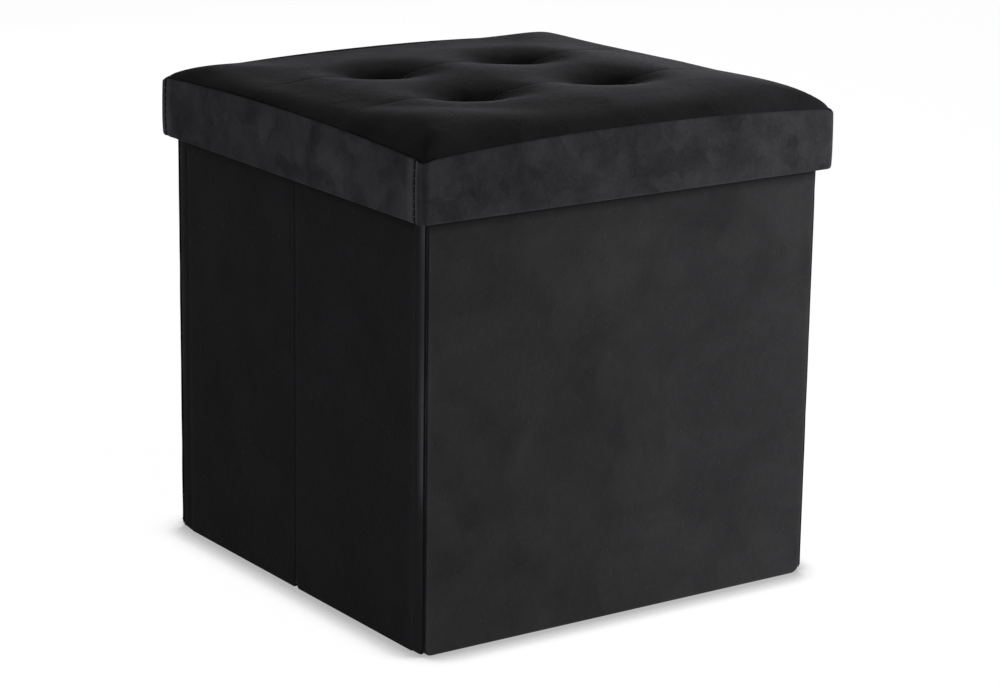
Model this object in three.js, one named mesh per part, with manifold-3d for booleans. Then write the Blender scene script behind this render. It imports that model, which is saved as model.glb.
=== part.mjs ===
// Foldable storage ottoman: a velvet cube of hinged board walls under a padded lift-off lid.
// Millimetres, +Z up, front towards -Y, origin on the floor under the middle of the box.
import * as THREE from 'three';
import { mergeVertices } from 'three/addons/utils/BufferGeometryUtils.js';
import Module from 'manifold-3d';

const wasm = await Module();
wasm.setup();

// ---------------------------------------------------------------- driving dimensions
const LID_WIDTH = 380;
const LID_OVERHANG = 9.5;
const BOX_WIDTH = LID_WIDTH - 2 * LID_OVERHANG;
const WALL_TOP = 356;
const SKIRT_BOTTOM = 331;
const SKIRT_TOP = 377;
const SKIRT_BOW = 6;
const CROWN_RISE = 9;

const GAP = 0.3;
const VELVET = 1.2;
const BOARD = 4;
const LINING = 1.2;
const WALL = VELVET + GAP + BOARD + GAP + LINING;

const CORNER_STRIP = 5.6;
const CREASE_HALF_GAP = 1;
const BOTTOM_CORNER_RADIUS = 10;
const TOP_CORNER_RADIUS = 4;

const LID_BOARD = 5;
const LID_LINING = 1;
const SKIRT_BOARD = 4;
const SKIRT_RETURN_TOP = 357;

const TUFT_PITCH = LID_WIDTH / 3;
const TUFT_DEPTH = 23;
const TUFT_SPREAD = 34;
const PAD_CELLS = 18;
const BUTTON_RADIUS = 9;
const BUTTON_HEIGHT = 5;
const BUTTON_LIFT = 6.5;
const CORD_RADIUS = 1;
const WASHER_RADIUS = 10;
const WASHER_HEIGHT = 1.5;

const BASE_BOARD = 3;
const BASE_WRAP = 0.8;
const BASE_BOARD_WIDTH = 342;
const BASE_BOARD_LENGTH = 338;
const BASE_BOARD_LIFT = 6;

// ---------------------------------------------------------------- worked-out places
const HALF_LID = LID_WIDTH / 2;
const HALF_BOX = BOX_WIDTH / 2;
const INNER = HALF_BOX - WALL;
const STRIP_START = INNER - GAP;
const SIDE_END = STRIP_START - CORNER_STRIP - GAP;
const LID_BOARD_BOTTOM = WALL_TOP + 2 * GAP + LID_LINING;
const LID_BOARD_TOP = LID_BOARD_BOTTOM + LID_BOARD;
const FOAM_BOTTOM = LID_BOARD_TOP + GAP;
const SEAM_Z = SKIRT_TOP + GAP + VELVET;

// ---------------------------------------------------------------- finishes
function finish(color, roughness) {
  return new THREE.MeshStandardMaterial({ color, roughness, metalness: 0 });
}

const velvet = finish(0x242426, 0.92);
const lining = finish(0x1c1c1e, 0.96);
const mdf = finish(0x9b7b57, 0.85);
const plywood = finish(0xc2a071, 0.75);
const foam = finish(0xe3dcc6, 0.98);
const twine = finish(0x2a2a2c, 0.8);
const nylon = finish(0x1d1d1f, 0.5);

// ---------------------------------------------------------------- solids
function toSolid(geometry) {
  const bare = new THREE.BufferGeometry();
  bare.setAttribute('position', geometry.attributes.position);
  if (geometry.index) bare.setIndex(geometry.index);
  const merged = mergeVertices(bare, 1e-4);
  return new wasm.Manifold(new wasm.Mesh({
    numProp: 3,
    vertProperties: new Float32Array(merged.attributes.position.array),
    triVerts: new Uint32Array(merged.index.array),
  }));
}

function toGeometry(solid) {
  const mesh = solid.getMesh();
  const geometry = new THREE.BufferGeometry();
  geometry.setAttribute('position', new THREE.BufferAttribute(mesh.vertProperties, 3));
  geometry.setIndex(new THREE.BufferAttribute(mesh.triVerts, 1));
  return geometry;
}

// A box given by its lowest and highest corners.
function block(low, high) {
  const size = high.map((value, i) => value - low[i]);
  const middle = high.map((value, i) => (value + low[i]) / 2);
  return new THREE.BoxGeometry(...size).translate(...middle);
}

// An upright panel outline in its own plane: u across, z up, with rounded corners.
function panelOutline(u0, u1, z0, z1, bottomRadius, topRadius) {
  const shape = new THREE.Shape();
  shape.moveTo(u0 + bottomRadius, z0);
  shape.lineTo(u1 - bottomRadius, z0);
  shape.absarc(u1 - bottomRadius, z0 + bottomRadius, bottomRadius, -Math.PI / 2, 0, false);
  shape.lineTo(u1, z1 - topRadius);
  shape.absarc(u1 - topRadius, z1 - topRadius, topRadius, 0, Math.PI / 2, false);
  shape.lineTo(u0 + topRadius, z1);
  shape.absarc(u0 + topRadius, z1 - topRadius, topRadius, Math.PI / 2, Math.PI, false);
  shape.lineTo(u0, z0 + bottomRadius);
  shape.absarc(u0 + bottomRadius, z0 + bottomRadius, bottomRadius, Math.PI, 1.5 * Math.PI, false);
  return shape;
}

// A slab cut to a panel outline, standing upright from depth w0 to w1 behind the outer face.
function panelSlab(u0, u1, inset, w0, w1) {
  const outline = panelOutline(
    u0 + inset, u1 - inset, inset, WALL_TOP - inset,
    BOTTOM_CORNER_RADIUS - inset, TOP_CORNER_RADIUS - inset,
  );
  const slab = new THREE.ExtrudeGeometry(outline, {
    depth: w1 - w0, bevelEnabled: false, curveSegments: 6,
  });
  return slab.rotateX(Math.PI / 2).translate(0, w1, 0);
}

// ---------------------------------------------------------------- assembly helpers
const ottoman = new THREE.Group();

function add(name, geometry, material, parent = ottoman) {
  const mesh = new THREE.Mesh(geometry, material);
  mesh.name = name;
  parent.add(mesh);
  return mesh;
}

// ---------------------------------------------------------------- box walls
// Each panel is drawn facing -Y with its outer face at y = 0, then turned to its side of the box.
function wallPanel(name, u0, u1, turn) {
  const side = new THREE.Group();
  side.rotation.z = turn;
  const panel = new THREE.Group();
  panel.position.y = -HALF_BOX;
  side.add(panel);
  ottoman.add(side);

  const boardInset = VELVET + GAP;
  const boardBack = boardInset + BOARD;
  const wrapped = toSolid(panelSlab(u0, u1, 0, 0, boardBack));
  const pocket = toSolid(panelSlab(u0, u1, VELVET, VELVET, boardBack + 1));
  add(`${name}_velvet`, toGeometry(wrapped.subtract(pocket)), velvet, panel);
  add(`${name}_board`, panelSlab(u0, u1, boardInset, boardInset, boardBack), mdf, panel);
  add(`${name}_lining`, panelSlab(u0, u1, 0, boardBack + GAP, WALL), lining, panel);
}

const FACING = { front: 0, right: Math.PI / 2, back: Math.PI, left: -Math.PI / 2 };
wallPanel('front_wall', -HALF_BOX, HALF_BOX, FACING.front);
wallPanel('back_wall', -HALF_BOX, HALF_BOX, FACING.back);
wallPanel('left_rear_wall', -SIDE_END, -CREASE_HALF_GAP, FACING.left);
wallPanel('left_front_wall', CREASE_HALF_GAP, SIDE_END, FACING.left);
wallPanel('right_front_wall', -SIDE_END, -CREASE_HALF_GAP, FACING.right);
wallPanel('right_rear_wall', CREASE_HALF_GAP, SIDE_END, FACING.right);

// Velvet hinges: a strip at each upright corner, and one at each side wall's middle crease.
const HINGE_BOTTOM = 3;
const HINGE_TOP = WALL_TOP - 2;
for (const [side, sx] of [['left', -1], ['right', 1]]) {
  const outer = sx * (HALF_BOX - GAP);
  const inner = sx * (INNER + GAP);
  const [x0, x1] = [Math.min(outer, inner), Math.max(outer, inner)];
  for (const [end, sy] of [['front', -1], ['back', 1]]) {
    const near = sy * (STRIP_START - CORNER_STRIP);
    const far = sy * STRIP_START;
    const low = [x0, Math.min(near, far), HINGE_BOTTOM];
    const high = [x1, Math.max(near, far), HINGE_TOP];
    add(`${end}_${side}_corner_hinge`, block(low, high), velvet);
  }
  const half = CREASE_HALF_GAP - GAP;
  const crease = block([x0, -half, HINGE_BOTTOM], [x1, half, HINGE_TOP]);
  add(`${side}_crease_hinge`, crease, velvet);
}

// ---------------------------------------------------------------- floor of the box
const CLOTH_BOTTOM = 2.5;
const CLOTH_TOP = CLOTH_BOTTOM + LINING;
const CLOTH_HALF = INNER - GAP;
const bottomCloth = block(
  [-CLOTH_HALF, -CLOTH_HALF, CLOTH_BOTTOM],
  [CLOTH_HALF, CLOTH_HALF, CLOTH_TOP],
);
add('bottom_cloth', bottomCloth, lining);

// The base board stands folded up against the back wall, hinged along its lower edge.
const WRAP_BACK = INNER - GAP;
const WRAP_FRONT = WRAP_BACK - BASE_BOARD - 2 * GAP - BASE_WRAP;
const BASE_TOP = BASE_BOARD_LIFT + BASE_BOARD_LENGTH;
const HALF_BASE = BASE_BOARD_WIDTH / 2;
const wrapOutside = toSolid(block(
  [-HALF_BASE, WRAP_FRONT, BASE_BOARD_LIFT],
  [HALF_BASE, WRAP_BACK, BASE_TOP],
));
const wrapPocket = toSolid(block(
  [-HALF_BASE + BASE_WRAP, WRAP_FRONT + BASE_WRAP, BASE_BOARD_LIFT + BASE_WRAP],
  [HALF_BASE - BASE_WRAP, WRAP_BACK + 1, BASE_TOP - BASE_WRAP],
));
add('base_board_wrap', toGeometry(wrapOutside.subtract(wrapPocket)), lining);

const boardEdge = BASE_WRAP + GAP;
const baseBoard = block(
  [-HALF_BASE + boardEdge, WRAP_FRONT + boardEdge, BASE_BOARD_LIFT + boardEdge],
  [HALF_BASE - boardEdge, WRAP_FRONT + boardEdge + BASE_BOARD, BASE_TOP - boardEdge],
);
add('base_board', baseBoard, mdf);

const baseHinge = block(
  [-HALF_BASE, WRAP_FRONT, CLOTH_TOP + GAP],
  [HALF_BASE, WRAP_BACK, BASE_BOARD_LIFT - GAP],
);
add('base_board_hinge', baseHinge, lining);

const TAB_WIDTH = 20;
const TAB_HEIGHT = 9;
const TAB_THICKNESS = 1.6;
const pullTab = block(
  [-TAB_WIDTH / 2, WRAP_FRONT + BASE_WRAP, BASE_TOP + GAP],
  [TAB_WIDTH / 2, WRAP_FRONT + BASE_WRAP + TAB_THICKNESS, BASE_TOP + GAP + TAB_HEIGHT],
);
add('base_board_pull_tab', pullTab, lining);

// ---------------------------------------------------------------- lid: tufting pattern
const TUFTS = [];
for (const [row, sy] of [['front', -1], ['back', 1]]) {
  for (const [column, sx] of [['left', -1], ['right', 1]]) {
    TUFTS.push({ name: `${row}_${column}`, x: sx * TUFT_PITCH / 2, y: sy * TUFT_PITCH / 2 });
  }
}

// Height of the velvet top: a bowed seam round the edge, a flat-topped crown and four dimples.
function topHeight(x, y) {
  const u = Math.min(Math.abs(x) / HALF_LID, 1);
  const v = Math.min(Math.abs(y) / HALF_LID, 1);
  const bow = (t) => SKIRT_BOW * (1 - t * t);
  const edge = bow(u) * v ** 6 + bow(v) * u ** 6;
  const crown = (CROWN_RISE + SKIRT_BOW) * Math.sqrt((1 - u ** 6) * (1 - v ** 6));
  let height = SEAM_Z + Math.max(edge, 0) * (1 - crown / 40) + crown;
  for (const tuft of TUFTS) {
    const reach = Math.hypot(x - tuft.x, y - tuft.y) / TUFT_SPREAD;
    height -= TUFT_DEPTH * Math.exp(-reach * reach * 1.6);
  }
  return height;
}

// A pad as wide as the lid, from a flat bottom up to the velvet's height less some depth.
function pad(depth, bottom) {
  const geometry = new THREE.BoxGeometry(LID_WIDTH, LID_WIDTH, 1, PAD_CELLS, PAD_CELLS, 1);
  const position = geometry.attributes.position;
  for (let i = 0; i < position.count; i += 1) {
    const top = topHeight(position.getX(i), position.getY(i)) - depth;
    position.setZ(i, position.getZ(i) > 0 ? top : bottom);
  }
  return toSolid(geometry);
}

// One layer of the lid with an upright round hole at each tuft, from low to high.
function withTuftHoles(layer, radius, low, high) {
  let solid = layer;
  for (const tuft of TUFTS) {
    const drill = new THREE.CylinderGeometry(radius, radius, high - low, 20);
    drill.rotateX(Math.PI / 2).translate(tuft.x, tuft.y, (low + high) / 2);
    solid = solid.subtract(toSolid(drill));
  }
  return solid;
}

// A layer with holes for the four tufting cords right through it.
function withCordHoles(layer) {
  return toGeometry(withTuftHoles(layer, CORD_RADIUS + GAP, SKIRT_BOTTOM, 2 * SKIRT_TOP));
}

// ---------------------------------------------------------------- lid: skirt
// A side is drawn along X facing -Y with its outer face at y = 0, then turned to its place.
const BOARD_DEPTH = VELVET + GAP;
const RETURN_DEPTH = BOARD_DEPTH + SKIRT_BOARD + GAP;
const SKIRT_DEPTH = RETURN_DEPTH + LID_LINING;

function skirtVelvet(halfLength) {
  const face = new THREE.Shape();
  face.moveTo(-halfLength, SKIRT_BOTTOM);
  face.lineTo(halfLength, SKIRT_BOTTOM);
  face.lineTo(halfLength, SKIRT_TOP);
  face.quadraticCurveTo(0, SKIRT_TOP + 2 * SKIRT_BOW, -halfLength, SKIRT_TOP);
  const outer = new THREE.ExtrudeGeometry(face, {
    depth: VELVET, bevelEnabled: false, curveSegments: 16,
  });
  outer.rotateX(Math.PI / 2).translate(0, VELVET, 0);
  const hem = block(
    [-halfLength, VELVET / 2, SKIRT_BOTTOM],
    [halfLength, SKIRT_DEPTH, SKIRT_BOTTOM + VELVET],
  );
  const turnedIn = block(
    [-halfLength, RETURN_DEPTH, SKIRT_BOTTOM],
    [halfLength, SKIRT_DEPTH, SKIRT_RETURN_TOP],
  );
  return toSolid(outer).add(toSolid(hem)).add(toSolid(turnedIn));
}

function skirtSide(name, halfLength, turn) {
  const side = new THREE.Group();
  side.rotation.z = turn;
  const panel = new THREE.Group();
  panel.position.y = -HALF_LID;
  side.add(panel);
  ottoman.add(side);
  add(`${name}_skirt_velvet`, toGeometry(skirtVelvet(halfLength)), velvet, panel);
  const board = block(
    [-halfLength + BOARD_DEPTH, BOARD_DEPTH, SKIRT_BOTTOM + VELVET + GAP],
    [halfLength - BOARD_DEPTH, BOARD_DEPTH + SKIRT_BOARD, LID_BOARD_TOP],
  );
  add(`${name}_skirt_board`, board, mdf, panel);
}

const SHORT_SIDE = HALF_LID - SKIRT_DEPTH - GAP;
skirtSide('front', HALF_LID, FACING.front);
skirtSide('back', HALF_LID, FACING.back);
skirtSide('left', SHORT_SIDE, FACING.left);
skirtSide('right', SHORT_SIDE, FACING.right);

// ---------------------------------------------------------------- lid: panel and padding
const boardHalf = HALF_LID - RETURN_DEPTH;
const liningHalf = HALF_LID - SKIRT_DEPTH - GAP;
const lidBoard = block(
  [-boardHalf, -boardHalf, LID_BOARD_BOTTOM],
  [boardHalf, boardHalf, LID_BOARD_TOP],
);
const lidLining = block(
  [-liningHalf, -liningHalf, WALL_TOP + GAP],
  [liningHalf, liningHalf, WALL_TOP + GAP + LID_LINING],
);
const washerTop = LID_BOARD_BOTTOM + WASHER_HEIGHT;
const recessed = withTuftHoles(toSolid(lidBoard), WASHER_RADIUS + GAP, SKIRT_BOTTOM, washerTop + GAP);
add('lid_board', withCordHoles(recessed), plywood);
add('lid_lining', lidLining, lining);

const topVelvet = pad(0, FOAM_BOTTOM).subtract(pad(VELVET, SKIRT_BOTTOM));
add('lid_top_velvet', withCordHoles(topVelvet), velvet);

const foamHalf = HALF_LID - VELVET - GAP;
const foamTrim = block([-foamHalf, -foamHalf, SKIRT_BOTTOM], [foamHalf, foamHalf, 2 * SKIRT_TOP]);
const foamPad = pad(VELVET + 2 * GAP, FOAM_BOTTOM).intersect(toSolid(foamTrim));
add('lid_foam', withCordHoles(foamPad), foam);

// Covered buttons pulled into the dimples by cords that end in washers let into the panel's
// underside, where the lining covers them.
for (const tuft of TUFTS) {
  const buttonBase = topHeight(tuft.x, tuft.y) + BUTTON_LIFT;
  const profile = [new THREE.Vector2(0, buttonBase), new THREE.Vector2(BUTTON_RADIUS, buttonBase)];
  const steps = 5;
  for (let i = 1; i <= steps; i += 1) {
    const angle = (i / steps) * Math.PI / 2;
    profile.push(new THREE.Vector2(
      i === steps ? 0 : BUTTON_RADIUS * Math.cos(angle),
      buttonBase + 1 + (BUTTON_HEIGHT - 1) * Math.sin(angle),
    ));
  }
  const button = new THREE.LatheGeometry(profile, 20).rotateX(Math.PI / 2);
  add(`${tuft.name}_button`, button.translate(tuft.x, tuft.y, 0), velvet);

  const washer = new THREE.CylinderGeometry(WASHER_RADIUS, WASHER_RADIUS, WASHER_HEIGHT, 20);
  washer.rotateX(Math.PI / 2).translate(tuft.x, tuft.y, washerTop - WASHER_HEIGHT / 2);
  add(`${tuft.name}_washer`, washer, nylon);

  const cordLow = washerTop + GAP;
  const cordHigh = buttonBase - GAP;
  const cord = new THREE.CylinderGeometry(CORD_RADIUS, CORD_RADIUS, cordHigh - cordLow, 10);
  cord.rotateX(Math.PI / 2).translate(tuft.x, tuft.y, (cordLow + cordHigh) / 2);
  add(`${tuft.name}_cord`, cord, twine);
}

export default ottoman;
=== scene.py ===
"""Foldable velvet storage ottoman: its cloth, padding and stitching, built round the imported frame."""
import math

import bpy
import numpy as np
from mathutils import Matrix, Vector, noise


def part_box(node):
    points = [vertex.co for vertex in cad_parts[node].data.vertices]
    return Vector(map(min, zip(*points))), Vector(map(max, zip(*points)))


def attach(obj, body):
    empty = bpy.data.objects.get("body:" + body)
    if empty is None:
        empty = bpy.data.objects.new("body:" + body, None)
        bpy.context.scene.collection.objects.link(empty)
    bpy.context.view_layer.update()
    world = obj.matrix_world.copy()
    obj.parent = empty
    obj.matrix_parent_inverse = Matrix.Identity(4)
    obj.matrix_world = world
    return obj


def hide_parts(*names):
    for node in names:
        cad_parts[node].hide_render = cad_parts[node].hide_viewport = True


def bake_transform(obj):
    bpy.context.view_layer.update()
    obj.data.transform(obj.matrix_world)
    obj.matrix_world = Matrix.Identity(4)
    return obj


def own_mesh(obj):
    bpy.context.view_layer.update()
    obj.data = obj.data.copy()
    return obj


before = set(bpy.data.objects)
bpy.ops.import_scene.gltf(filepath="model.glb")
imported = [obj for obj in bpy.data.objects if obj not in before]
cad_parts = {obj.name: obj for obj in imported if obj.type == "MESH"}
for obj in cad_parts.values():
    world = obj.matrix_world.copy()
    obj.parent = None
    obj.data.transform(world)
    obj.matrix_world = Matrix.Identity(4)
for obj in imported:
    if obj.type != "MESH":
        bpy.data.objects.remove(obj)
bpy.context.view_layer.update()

MM = 0.001
WAVE_PERIOD = math.pi / 10    # a wave texture's period at scale 1

# -------- sizes taken from the frame
skirt_low, skirt_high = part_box("front_skirt_velvet")
wall_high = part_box("front_wall_velvet")[1]
side_low, side_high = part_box("left_front_wall_velvet")
HALF_LID = skirt_high.x
SKIRT_BOTTOM = skirt_low.z
SKIRT_DEPTH = skirt_high.y - skirt_low.y
HALF_BOX = wall_high.x
WALL_TOP = wall_high.z
WALL_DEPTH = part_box("front_wall_lining")[1].y + HALF_BOX
CREASE = -side_high.y
SIDE_END = -side_low.y
TUFTS = {
    name: (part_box(f"{name}_button")[0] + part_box(f"{name}_button")[1]) / 2
    for name in ("front_left", "front_right", "back_left", "back_right")
}

# -------- sizes of the cloth
# The wide walls are padded a little past their boards. The folding walls lie flush, because their
# outer faces meet when the box is folded.
OUTER = HALF_BOX + 1.8 * MM
SIDE_OUTER = HALF_BOX + 0.05 * MM
VELVET = 1.1 * MM    # thickness of the velvet
LINING = 0.5 * MM    # and of the lining
SEAM_FROM_CORNER = 0.8 * MM    # how far in from the corners the wide walls' seams lie
CORNER_ROUND = 1.5 * MM    # the corner cloths' turn: this much across the folding walls
CORNER_RUN = 9.0 * MM    # and this much along them
BOTTOM_CORNERS = {"front_left": 8 * MM, "front_right": 9 * MM,
                  "back_left": 9.5 * MM, "back_right": 6 * MM}
TOP_CORNER = 4 * MM
SKIRT_OUT = HALF_LID + 1.5 * MM
SKIRT_IN = HALF_LID - SKIRT_DEPTH + 1.0 * MM
SKIRT_LOW = SKIRT_BOTTOM - 0.3 * MM
SKIRT_CORNER = 7.0 * MM
SKIRT_WRAP = 9.5 * MM    # how far the band's wide pieces reach round the corners
SKIRT_TOP = 377.5 * MM    # the lid's edge seam, before it bows
SKIRT_BOW = {"x": 5.5 * MM, "y": 7.5 * MM}
TOP_HALF = SKIRT_OUT - 1.9 * MM
CROWN = 24.5 * MM    # how far the cushion rises over its edge seam
FRONT_RISE = 2.0 * MM    # it is fuller in front, by this much at the front tufts
TUFT_REACH = 63 * MM
DIMPLE = 16.3 * MM    # the pit round each button
DIMPLE_RADIUS = 15.5 * MM
HOLLOW = 15.0 * MM    # the wide hollow round each pit
HOLLOW_RADIUS = 51 * MM
BUTTON_RADIUS = 10.5 * MM

# Rows of thread, as the pitch, the length of a stitch and the thread's radius.
HEM_STITCH = (4 * MM, 2.8 * MM, 0.32 * MM)
CORNER_STITCH = (4.4 * MM, 1.7 * MM, 0.26 * MM)
SKIRT_SEAM_STITCH = (5.6 * MM, 3.4 * MM, 0.3 * MM)
SKIRT_SIDE_STITCH = (4.4 * MM, 2.4 * MM, 0.3 * MM)
TOP_STITCH = (3.6 * MM, 2.4 * MM, 0.3 * MM)
LID_LINING_STITCH = (4 * MM, 2.8 * MM, 0.3 * MM)

TURN = {"front": 0.0, "right": math.pi / 2, "back": math.pi, "left": -math.pi / 2}


# -------- colour and shader helpers
def colour(hex_code):
    """An sRGB hex colour as linear RGBA."""
    channels = [int(hex_code[i:i + 2], 16) / 255 for i in (1, 3, 5)]
    linear = [c / 12.92 if c <= 0.04045 else ((c + 0.055) / 1.055) ** 2.4 for c in channels]
    return (*linear, 1.0)


def add(tree, kind, settings=None, links=None):
    """A shader node. Lower-case settings are its properties, others the values of its sockets."""
    made = tree.nodes.new(f"ShaderNode{kind}")
    for name, value in (settings or {}).items():
        if isinstance(name, str) and name[0].islower():
            setattr(made, name, value)
        else:
            made.inputs[name].default_value = value
    for name, socket in (links or {}).items():
        tree.links.new(socket, made.inputs[name])
    return made


def new_material(name):
    material = bpy.data.materials.new(name)
    material.use_nodes = True
    material.node_tree.nodes.clear()
    return material, material.node_tree


def finish_material(tree, shader):
    add(tree, "OutputMaterial", links={"Surface": shader.outputs[0]})


def per_metre(size_mm):
    """Texture scale that gives features of this size."""
    return 1000.0 / size_mm


def two_tone(tree, factor, dark, light, low=0.3, high=0.7):
    ramp = add(tree, "ValToRGB", links={"Fac": factor})
    for element, position, shade in zip(ramp.color_ramp.elements, (low, high), (dark, light)):
        element.position = position
        element.color = colour(shade)
    return ramp.outputs["Color"]


def maths(tree, operation, *terms):
    """The result of a sum. Each term is a number or a socket."""
    values = {i: term for i, term in enumerate(terms) if isinstance(term, (int, float))}
    sockets = {i: term for i, term in enumerate(terms) if i not in values}
    return add(tree, "Math", {"operation": operation, **values}, sockets).outputs[0]


def ranged(tree, value, **limits):
    """A value stretched between limits, which are From Min, From Max, To Min and To Max."""
    settings = {name.replace("_", " ").title(): limit for name, limit in limits.items()}
    return add(tree, "MapRange", settings, {"Value": value}).outputs["Result"]


def tinted(tree, base, shade, factor):
    """A colour drawn towards another one by a factor."""
    settings = {"data_type": "RGBA", "B": colour(shade)}
    return add(tree, "Mix", settings, {"Factor": factor, "A": base}).outputs["Result"]


def speckle(tree, place, size_mm, detail, roughness, distortion=0.0):
    """Noise with features of this size."""
    settings = {"Scale": per_metre(size_mm), "Detail": detail, "Roughness": roughness,
                "Distortion": distortion}
    return add(tree, "TexNoise", settings, {"Vector": place})


def relief(tree, height, strength, depth_mm, under=None, sunk=False):
    """A surface roughened by a height, over the one under it."""
    links = {"Height": height}
    if under:
        links["Normal"] = under
    settings = {"invert": sunk, "Strength": strength, "Distance": depth_mm * MM}
    return add(tree, "Bump", settings, links).outputs["Normal"]


# -------- materials
STROKE_SHARE = 0.35    # how much brush strokes count against the clouds of the pile


def crushed_velvet(name, dark, light, patch_mm, crush, sheen, flats=0.3, sheen_spread=0.5):
    """Black polyester velvet, woven and shorn to a pile of about 1 mm.

    The pile lies in patches where hands and packing have crushed it, so the black drifts between two greys
    in clouds, and it goes soft and pale where it is seen edge on. flats is how much of that comes from
    small flattened patches, each leaning its own way."""
    material, tree = new_material(name)
    place = add(tree, "TexCoord").outputs["Object"]
    clouds = speckle(tree, place, patch_mm, 4.0, 0.55, 0.5).outputs
    wander = add(tree, "VectorMath", {"operation": "MULTIPLY_ADD", 1: (0.03, 0.03, 0.03)},
                 {0: clouds["Color"], 2: place}).outputs["Vector"]
    patches = add(tree, "TexVoronoi",
                  {"feature": "SMOOTH_F1", "Scale": per_metre(patch_mm / 2.6), "Smoothness": 0.35},
                  {"Vector": wander}).outputs["Color"]
    strokes = speckle(tree, place, patch_mm / 7, 3.0, 0.6, 1.2).outputs["Fac"]
    brushed = maths(tree, "MULTIPLY_ADD", strokes, STROKE_SHARE, clouds["Fac"])
    mixed = maths(tree, "MULTIPLY_ADD", patches, flats, brushed)
    lean = maths(tree, "MULTIPLY", mixed, 1 / (1 + STROKE_SHARE + flats))
    pile_colour = two_tone(tree, lean, dark, light, 0.5 - crush, 0.5 + crush)
    # Single fibres are far too fine to show, so the tips are drawn as tufts 1.1 mm across.
    tips = speckle(tree, place, 1.1, 2.0, 0.7).outputs["Fac"]
    speck = add(tree, "Mix", {"data_type": "RGBA", "blend_type": "OVERLAY", 0: 0.25},
                {"A": pile_colour, "B": tips}).outputs["Result"]
    # Here and there a tuft stands against the rest and catches the light: flecks of about 2 mm.
    stray = speckle(tree, place, 3.2, 1.0, 0.5, 0.8).outputs["Fac"]
    fleck = ranged(tree, stray, from_min=0.68, from_max=0.84, to_max=0.12)
    flecked = tinted(tree, speck, "#4a4a4d", fleck)
    # Painted light: where a point's painted tone is above 0 the pile is drawn paler, a painted highlight
    # along edges, corners and beside seams.
    painted_tone = add(tree, "Attribute", {"attribute_name": "painted_tone"}).outputs["Fac"]
    painted_paler = tinted(tree, flecked, "#5a5a5e", maths(tree, "MULTIPLY", painted_tone, 0.5))
    # Painted shade: where the painted tone is below 0 the pile is drawn darker, as painted shade in seams,
    # a painted shadow under the lid's hem and painted shade along the top's edge.
    pile = tinted(tree, painted_paler, "#080809", maths(tree, "MULTIPLY", painted_tone, -0.9))
    # Packing has pressed short creases into the pile, 3 to 6 mm long, in some places only.
    net = add(tree, "TexVoronoi", {"feature": "DISTANCE_TO_EDGE", "Scale": per_metre(9)},
              {"Vector": wander}).outputs["Distance"]
    lines = ranged(tree, net, from_max=0.055, to_min=1.0, to_max=0.0)
    places = ranged(tree, stray, from_min=0.64, from_max=0.72)
    creased = relief(tree, maths(tree, "MULTIPLY", lines, places), 0.45, 0.6, sunk=True)
    tufted = relief(tree, tips, 0.5, 0.35, creased)
    napped = relief(tree, mixed, 0.35, 2.0, tufted)
    shader = add(tree, "BsdfPrincipled",
                 {"Roughness": 0.95, "Specular IOR Level": 0.0, "Sheen Weight": sheen,
                  "Sheen Roughness": sheen_spread, "Sheen Tint": colour("#f0f0f6")},
                 {"Base Color": pile, "Normal": napped})
    finish_material(tree, shader)
    return material


def bonded_lining(name, lying):
    """Black non-woven polypropylene, spun and spot-welded by a patterned roller.

    The welds are shiny diamonds about 2.4 mm apart in a dull fibrous sheet."""
    material, tree = new_material(name)
    place = add(tree, "TexCoord").outputs["Object"]
    parts = add(tree, "SeparateXYZ", links={"Vector": place})
    x, y, z = (parts.outputs[axis] for axis in "XYZ")
    along, across = (x, y) if lying else (maths(tree, "ADD", x, y), z)
    waves = []
    for direction in ("ADD", "SUBTRACT"):
        turns = maths(tree, "MULTIPLY", maths(tree, direction, along, across), math.pi * per_metre(2.4))
        waves.append(maths(tree, "SINE", turns))
    weld = ranged(tree, maths(tree, "MULTIPLY", *waves), from_min=0.45, from_max=0.8)
    fibres = speckle(tree, place, 1.6, 4.0, 0.75, 2.0).outputs["Fac"]
    felt = two_tone(tree, fibres, "#151517", "#262629", 0.3, 0.75)
    shader = add(tree, "BsdfPrincipled", {"Specular IOR Level": 0.3},
                 {"Base Color": tinted(tree, felt, "#1d1d20", weld),
                  "Roughness": ranged(tree, weld, to_min=0.92, to_max=0.5),
                  "Normal": relief(tree, maths(tree, "SUBTRACT", fibres, weld), 0.6, 0.25)})
    finish_material(tree, shader)
    return material


def grained(name, kind, settings, measure, tones, bump, surface, stretch=None):
    """A material whose one texture gives both its two tones and its relief, as (strength, mm)."""
    material, tree = new_material(name)
    place = add(tree, "TexCoord").outputs["Object"]
    if stretch:
        place = add(tree, "Mapping", {"Scale": stretch}, {"Vector": place}).outputs["Vector"]
    grain = add(tree, f"Tex{kind}", settings, {"Vector": place}).outputs[measure]
    shader = add(tree, "BsdfPrincipled", surface,
                 {"Base Color": two_tone(tree, grain, *tones), "Normal": relief(tree, grain, *bump)})
    finish_material(tree, shader)
    return material


def spun_thread(name, dark, light):
    """Twisted polyester thread: a low gleam broken by the twist, about 0.5 mm a turn."""
    twist = {"bands_direction": "DIAGONAL", "Scale": per_metre(0.5) * WAVE_PERIOD, "Distortion": 1.0}
    return grained(name, "Wave", twist, "Fac", (dark, light), (0.4, 0.1),
                   {"Roughness": 0.7, "Specular IOR Level": 0.4})


velvet = crushed_velvet("wall_velvet", "#19191a", "#2b2b2c", patch_mm=70, crush=0.21, sheen=0.27,
                        flats=0.25)
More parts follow.
